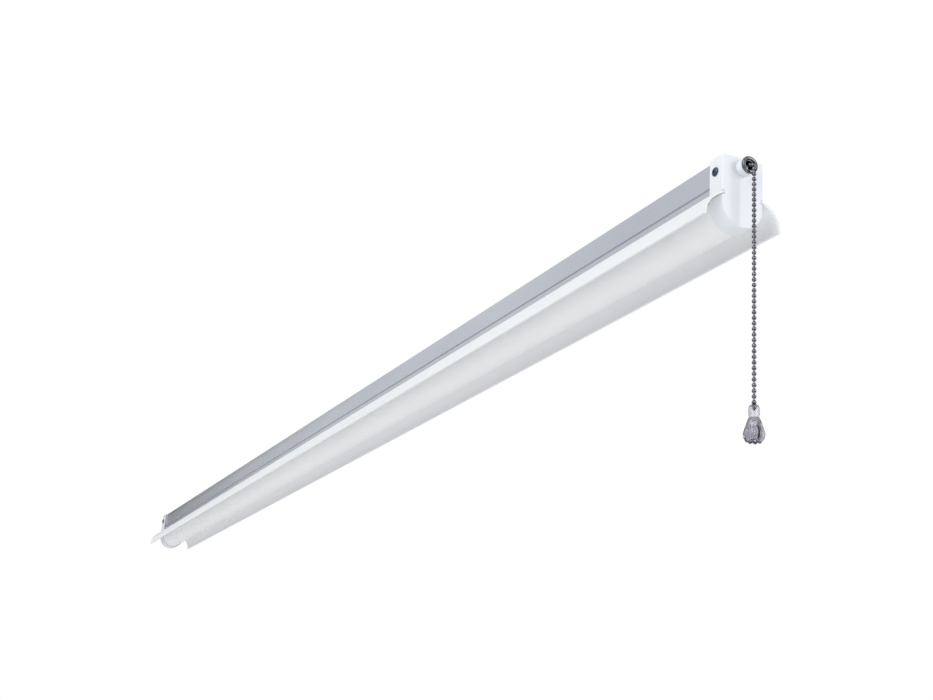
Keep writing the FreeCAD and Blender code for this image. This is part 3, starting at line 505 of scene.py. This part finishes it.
def cap(end, node, name, hole_z, hole_r):
    """Moulded cup: outer skin with a rounded front edge, cavity, wing slots and one hole."""
    half_width, top = CAP[1].y, CAP[1].z
    back = CAP[0].x

    def ring(inset, x):
        return x, u_outline(half_width - inset, top - inset,
                            CAP_CORNER - inset * CAP_CORNER_SHRINK)
    cavity = u_outline(half_width - CAP_WALL, top - CAP_ROOF, CAP_CORNER - CAVITY_CORNER_LESS)
    rings = [(HALF - CAP_FRONT, cavity), (back + CAP_LIP, cavity), ring(CAP_LIP, back),
             ring(0, back + CAP_LIP)]
    for i in range(7):
        turn = math.radians(15 * i)
        rings.append(ring(CAP_EDGE * (1 - math.cos(turn)),
                          HALF - CAP_EDGE + CAP_EDGE * math.sin(turn)))
    bm = bmesh.new()
    loops = [[bm.verts.new((end * x, y, z)) for y, z in outline] for x, outline in rings]
    for low, high in zip(loops, loops[1:]):
        for i in range(len(low)):
            j = (i + 1) % len(low)
            bm.faces.new((low[i], low[j], high[j], high[i]))
    bm.faces.new(loops[0])
    bm.faces.new(loops[-1])
    made = piece(name, bm, "fixture", "white_moulding", [node])
    deep = half_width - CAP_WALL - SLOT_IN
    tools = [block(sorted((end * (back - MM), end * (HALF + MM))),
                   sorted((s * deep, s * (half_width + MM))), SLOT) for s in (-1, 1)]
    tools.append(pin(hole_r, CAP_FRONT_CUT, 64, (end * HALF, 0, hole_z), (1, 0, 0)))
    for s in (-1, 1):
        tools.append(pin(SCREW_HOLE_R, CAP_SIDE_CUT, SCREW_SIDES,
                         (end * (HALF - SCREW_X_IN), s * half_width, SCREW_Z), (0, 1, 0)))
    boolean(made, tools)


def cap_screws(end, node):
    """Domed pan heads with a tapered cross recess."""
    for side, label in ((-1, "left"), (1, "right")):
        centre = (end * (HALF - SCREW_X_IN), side * CAP[1].y, SCREW_Z)
        place = aimed(centre, (0, side, 0))
        profile = [(0, -5.0), (1.1, -5.0), (1.4, -4.6), (1.4, 0), (2.42, 0), (2.5, 0.08),
                   (2.5, 0.5), (2.42, 0.72), (2.2, 0.95), (1.85, 1.13), (1.4, 1.24), (0.8, 1.29),
                   (0, 1.3)]
        bm = turned([(r * MM, h * MM) for r, h in profile], 48, place, closed=False)
        made = piece("%s_%s" % (node, label), bm, "fixture", "screw_steel", [node])
        tools = []
        for turn in (0, math.pi / 2):
            tool = bmesh.new()
            corners = []
            for height, along, across in SCREW_RECESS:
                corners.append([tool.verts.new(place @ Matrix.Rotation(turn, 4, "Z") @ Vector(
                    (sx * along * MM, sy * across * MM, height * MM)))
                    for sx, sy in ((-1, -1), (1, -1), (1, 1), (-1, 1))])
            for i in range(4):
                j = (i + 1) % 4
                tool.faces.new((corners[0][i], corners[0][j], corners[1][j], corners[1][i]))
            tool.faces.new(corners[0])
            tool.faces.new(corners[1])
            tools.append(tool)
        boolean(made, tools)


def grommet():
    """Rubber ring with a flange on each side of the blank cap's wall."""
    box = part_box("cord_grommet")
    middle = (box[0].z + box[1].z) / 2
    profile = [(3.2, 0.5), (3.6, 0.1), (4.2, 0), (4.9, 0.05), (5.4, 0.35), (5.6, 0.8), (5.5, 1.25),
               (5.2, 1.4), (4.4, 1.4), (4.4, 2.9), (5.0, 2.9), (5.3, 3.1), (5.1, 3.6),
               (4.4, 4.3), (3.6, 4.3), (3.2, 4.0)]
    bm = turned([(r * MM, h * MM) for r, h in profile], 64, aimed((box[0].x, 0, middle), (1, 0, 0)))
    piece("grommet", bm, "fixture", "black_rubber", ["cord_grommet"])


# ---------------------------------------------------------------- switch outside the cap
def ring_nut():
    """Round nut with a rounded front edge and a sunk face round the bell's neck."""
    length = NUT[1].x - HALF
    radius = (NUT[1].z - NUT[0].z) / 2
    mouth = THROAT_R + BELL_WALL + NUT_MOUTH_GAP
    front = arc((length - NUT_BEVEL, radius - NUT_BEVEL), NUT_BEVEL, 90, 0, 6)
    profile = [(BUSHING_R, 0), (radius - NUT_FOOT, 0), (radius, NUT_FOOT)]
    profile += [(r, h) for h, r in front]
    profile += [(radius - inset * MM, length - depth * MM) for inset, depth in NUT_RING]
    profile += [(mouth + wider * MM, length - depth * MM) for wider, depth in NUT_MOUTH]
    profile.append((BUSHING_R, profile[-1][1]))
    bm = turned(profile, TURNED_SIDES, aimed((HALF, 0, SWITCH_Z), (1, 0, 0)))
    piece("ring_nut", bm, "fixture", "white_moulding", ["switch_ring_nut"])


def bell_mouth():
    """Turned trumpet: neck, flare and a full round rolled rim."""
    neck = THROAT_R + BELL_WALL
    steps = 12
    turns = [math.pi / 2 * i / steps for i in range(steps + 1)]
    inside = [(THROAT_R + (RIM_PATH - RIM_R - THROAT_R) * (1 - math.cos(t)),
               -BELL_FLARE + BELL_FLARE * math.sin(t)) for t in turns]
    rim = [(RIM_PATH + RIM_R * math.sin(t), RIM_R * math.cos(t))
           for t in [math.radians(-90 + 15 * i) for i in range(19)]]
    outside = [(neck + (RIM_PATH - neck) * (1 - math.cos(t)),
                -BELL_FLARE + (BELL_FLARE - RIM_R) * math.sin(t)) for t in reversed(turns)]
    back = BELL[0].x - RIM_CENTRE_X
    profile = [(THROAT_R, back)] + inside[:-1] + rim + outside[1:] + [(neck, back)]
    bm = turned(profile, TURNED_SIDES, aimed((RIM_CENTRE_X, 0, SWITCH_Z), (1, 0, 0)))
    piece("bell_mouth_turned", bm, "fixture", "dark_nickel", ["bell_mouth"])


# ---------------------------------------------------------------- ball chain
def bead_profile(height):
    """Half-shells pressed round the link: a ball with a shallow cone at each pole."""
    hole = math.degrees(math.asin(BEAD_HOLE_R / BEAD_R))
    points = [(LINK_R, height - BEAD_R * LINK_SINK)]
    for i in range(13):
        angle = math.radians(-90 + hole + (180 - 2 * hole) * i / 12)
        points.append((BEAD_R * math.cos(angle), height + BEAD_R * math.sin(angle)))
    return points + [(LINK_R, height + BEAD_R * LINK_SINK)]


def strand(name, node, first, along, count, lead_in, lead_out):
    """Beads in a row on their links. A link stub reaches out of an end that has a neighbour."""
    profile = [(0, -STUB), (LINK_TIP_R, -STUB)] if lead_in else [(0, -BEAD_R * BEAD_CORE)]
    for number in range(count):
        profile += bead_profile(number * PITCH)
    end = (count - 1) * PITCH
    profile += [(LINK_TIP_R, end + STUB), (0, end + STUB)] if lead_out else [
        (0, end + BEAD_R * BEAD_CORE)]
    bm = turned(profile, CHAIN_SIDES, aimed(first, along), closed=False)
    piece(name, bm, node, "dark_nickel", [node], sharp=50)


def hanging_strand(node):
    """A length of the hanging run, its beads counted from the CAD node's own height."""
    low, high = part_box(node)
    first = Vector(((low.x + high.x) / 2, 0, high.z - STUB))
    count = round((first.z - low.z - STUB) / PITCH) + 1
    strand("strand_" + node, node, first, (0, 0, -1), count, True, True)


def chain():
    for node in ("chain_stem", "chain_pivot", "chain_upper", "chain_link", "chain_lower"):
        hanging_strand(node)
    low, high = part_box("chain_lead")
    count = round((high.x - STUB - low.x - BEAD_R) / PITCH) + 1
    first = Vector((high.x - STUB - (count - 1) * PITCH, 0, SWITCH_Z))
    strand("strand_chain_lead", "chain_lead", first, (1, 0, 0), count, False, True)
    for node in ("chain_bead_throat", "chain_bead_turn_in", "chain_bead_turn_out"):
        low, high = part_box(node)
        centre = (low + high) / 2
        drop = SWITCH_Z - centre.z
        turn = math.acos(max(-1.0, min(1.0, 1 - drop / RIM_PATH)))
        strand("ball_" + node, node, centre, (math.cos(turn), 0, -math.sin(turn)), 1, False, False)


def pull_knob():
    """Clear bell: ball collar, a groove below it and a skirt of eight petals."""
    centre = (KNOB[0] + KNOB[1]) / 2
    foot, top = KNOB[0].z, KNOB[1].z
    outer = [(0.0, 1.7), (0.25, 2.1), (0.9, 2.55), (1.9, 2.85), (3.2, 2.95), (4.6, 2.85),
             (5.6, 2.7), (6.2, 2.55), (6.7, 2.6), (7.1, 2.95), (8.6, 3.6), (10.6, 4.2),
             (12.4, 4.85), (14.0, 5.4), (15.2, 5.6), (16.4, 5.5), (17.6, 5.1), (18.6, 4.5),
             (19.3, 3.9)]
    sides = 96
    flute_depth, flute_top, flute_run = 0.95, 6.8, 7.5
    scallop, scallop_top, scallop_run = 0.5, 16.4, 2.9
    petal_round, flute_ease = 0.8, 1.2
    mouth, inner_mouth, bore, neck = 2.3, 1.9, 1.5, 0.75
    mouth_up, bore_up, collar = 1.4, 1.8, 0.4

    def share(down, start, run):
        return max(0.0, min(1.0, (down - start) / run))

    def at(radius, angle, z):
        return (centre.x + radius * MM * math.cos(angle),
                centre.y + radius * MM * math.sin(angle), z)
    bm = bmesh.new()
    turns = [2 * math.pi * i / sides for i in range(sides)]
    rings = []
    for down, radius in outer:
        ring = []
        for angle in turns:
            between_petals = 1 - abs(math.cos(angle * KNOB_PETALS / 2)) ** petal_round
            flute = flute_depth * share(down, flute_top, flute_run) ** flute_ease
            r = radius - flute * between_petals
            lift = scallop * share(down, scallop_top, scallop_run) * between_petals
            ring.append(bm.verts.new(at(r, angle, top - (down - lift) * MM)))
        rings.append(ring)
    for radius, z in ((mouth, foot + scallop * MM), (inner_mouth, foot + mouth_up * MM),
                      (bore, foot + bore_up * MM), (bore, top - collar * MM),
                      (neck, top - collar * MM), (neck, top)):
        rings.append([bm.verts.new(at(radius, angle, z)) for angle in turns])
    for low, high in zip(rings, rings[1:] + rings[:1]):
        for i in range(sides):
            j = (i + 1) % sides
            bm.faces.new((low[i], low[j], high[j], high[i]))
    piece("knob_clear", bm, "pull_knob", "clear_acrylic", ["pull_knob"], sharp=38)


# ---------------------------------------------------------------- stage
CAMERA_PLACE = (1.1663, -0.4126, -0.3489)
CAMERA_YAW = 155.54         # degrees
CAMERA_PITCH = 18.62
CAMERA_ROLL = 3.93
CAMERA_LENS = 54.78         # mm
CAMERA_SENSOR = 36.0        # mm wide
FLOOR_Z = -2.4
FLOOR_HALF = 80
FLAG_PLACE = (-3.2, -0.2, 0.55)
FLAG_HALF = (0.5, 1.0)      # along Y and up
SOFT_LEVEL = 0.56           # world's light on the object
LAMPS = (                   # name, place, target, size, watts, colour
    ("key", (0.9, -2.0, 1.0), (0, 0, 0), 2.0, 30, (0.94, 0.98, 1.0)),
    ("front", (2.4, 0.9, 0.1), (0.5, 0, 0), 1.1, 18, (0.97, 0.98, 1.0)),
    ("below", (0.0, -0.6, -2.3), (0, 0, 0), 2.4, 30, (1, 1, 1)),
)


def camera():
    data = bpy.data.cameras.new("camera")
    data.sensor_width = CAMERA_SENSOR
    data.lens = CAMERA_LENS
    data.clip_start = 0.01
    yaw, pitch, roll = map(math.radians, (CAMERA_YAW, CAMERA_PITCH, CAMERA_ROLL))
    forward = Vector((math.cos(pitch) * math.cos(yaw), math.cos(pitch) * math.sin(yaw),
                      math.sin(pitch)))
    level = forward.cross(Vector((0, 0, 1))).normalized()
    above = level.cross(forward)
    right = level * math.cos(roll) + above * math.sin(roll)
    up = above * math.cos(roll) - level * math.sin(roll)
    placed = bpy.data.objects.new("camera", data)
    placed.matrix_world = Matrix((
        (right.x, up.x, -forward.x, CAMERA_PLACE[0]),
        (right.y, up.y, -forward.y, CAMERA_PLACE[1]),
        (right.z, up.z, -forward.z, CAMERA_PLACE[2]),
        (0, 0, 0, 1)))
    bpy.context.scene.collection.objects.link(placed)
    bpy.context.scene.camera = placed


def lamp(name, place, target, size, power, colour):
    """Square soft light that the camera doesn't see."""
    data = bpy.data.lights.new(name, "AREA")
    data.shape = "SQUARE"
    data.size = size
    data.energy = power
    data.color = colour
    made = bpy.data.objects.new(name, data)
    made.matrix_world = aimed(place, Vector(place) - Vector(target))
    made.visible_camera = False
    bpy.context.scene.collection.objects.link(made)


def flag():
    """Dark studio flag beyond the blank end, seen only as a reflection."""
    bm = bmesh.new()
    bmesh.ops.create_grid(bm, x_segments=4, y_segments=4, size=1.0)
    mesh = bpy.data.meshes.new("flag")
    bm.to_mesh(mesh)
    bm.free()
    mesh.materials.append(surface("flag_cloth", (0.02, 0.02, 0.022), (0.03, 0.03, 0.033),
                                  (0.8, 0.9), 40, bumps=0.0))
    made = bpy.data.objects.new("flag", mesh)
    made.matrix_world = aimed(FLAG_PLACE, (1, 0, 0))
    made.scale = (*FLAG_HALF, 1)
    for way in ("camera", "diffuse", "transmission", "shadow", "volume_scatter"):
        setattr(made, "visible_" + way, False)
    bpy.context.scene.collection.objects.link(made)


def world(level):
    """White for camera, glossy and transmission rays, and a softer light on the object."""
    made = bpy.data.worlds.new("studio")
    bpy.context.scene.world = made
    made.use_nodes = True
    tree = made.node_tree
    tree.nodes.clear()
    rays = tree.nodes.new("ShaderNodeLightPath")
    either = tree.nodes.new("ShaderNodeMath")
    either.operation = "MAXIMUM"
    seen = tree.nodes.new("ShaderNodeMath")
    seen.operation = "MAXIMUM"
    tree.links.new(rays.outputs["Is Camera Ray"], either.inputs[0])
    tree.links.new(rays.outputs["Is Glossy Ray"], either.inputs[1])
    tree.links.new(either.outputs[0], seen.inputs[0])
    tree.links.new(rays.outputs["Is Transmission Ray"], seen.inputs[1])
    soft = tree.nodes.new("ShaderNodeBackground")
    soft.inputs["Color"].default_value = (0.97, 0.98, 1.0, 1)
    soft.inputs["Strength"].default_value = level
    white = tree.nodes.new("ShaderNodeBackground")
    white.inputs["Color"].default_value = (1, 1, 1, 1)
    white.inputs["Strength"].default_value = 1.0
    mix = tree.nodes.new("ShaderNodeMixShader")
    out = tree.nodes.new("ShaderNodeOutputWorld")
    tree.links.new(seen.outputs[0], mix.inputs["Fac"])
    tree.links.new(soft.outputs[0], mix.inputs[1])
    tree.links.new(white.outputs[0], mix.inputs[2])
    tree.links.new(mix.outputs[0], out.inputs["Surface"])


def floor():
    bm = bmesh.new()
    bmesh.ops.create_grid(bm, x_segments=8, y_segments=8, size=FLOOR_HALF)
    mesh = bpy.data.meshes.new("floor")
    bm.to_mesh(mesh)
    bm.free()
    mesh.materials.append(surface("floor_paint", (0.84, 0.84, 0.84), (0.87, 0.87, 0.87),
                                  (0.6, 0.7), 6, bumps=0.0))
    made = bpy.data.objects.new("floor", mesh)
    made.location = (0, 0, FLOOR_Z)
    bpy.context.scene.collection.objects.link(made)


def main():
    paint_nodes()
    channel()
    lens()
    wing(1, "reflector_wing_right")
    wing(-1, "reflector_wing_left")
    cap(1, "end_cap_switch", "cap_switch", SWITCH_Z, SWITCH_HOLE_R)
    cap(-1, "end_cap_blank", "cap_blank", GROMMET_HOLE_Z, GROMMET_HOLE_R)
    cap_screws(1, "end_cap_screws_near")
    cap_screws(-1, "end_cap_screws_far")
    grommet()
    ring_nut()
    bell_mouth()
    chain()
    pull_knob()
    floor()
    flag()
    world(SOFT_LEVEL)
    for values in LAMPS:
        lamp(*values)
    camera()
    bpy.context.scene.view_settings.view_transform = "Standard"


main()
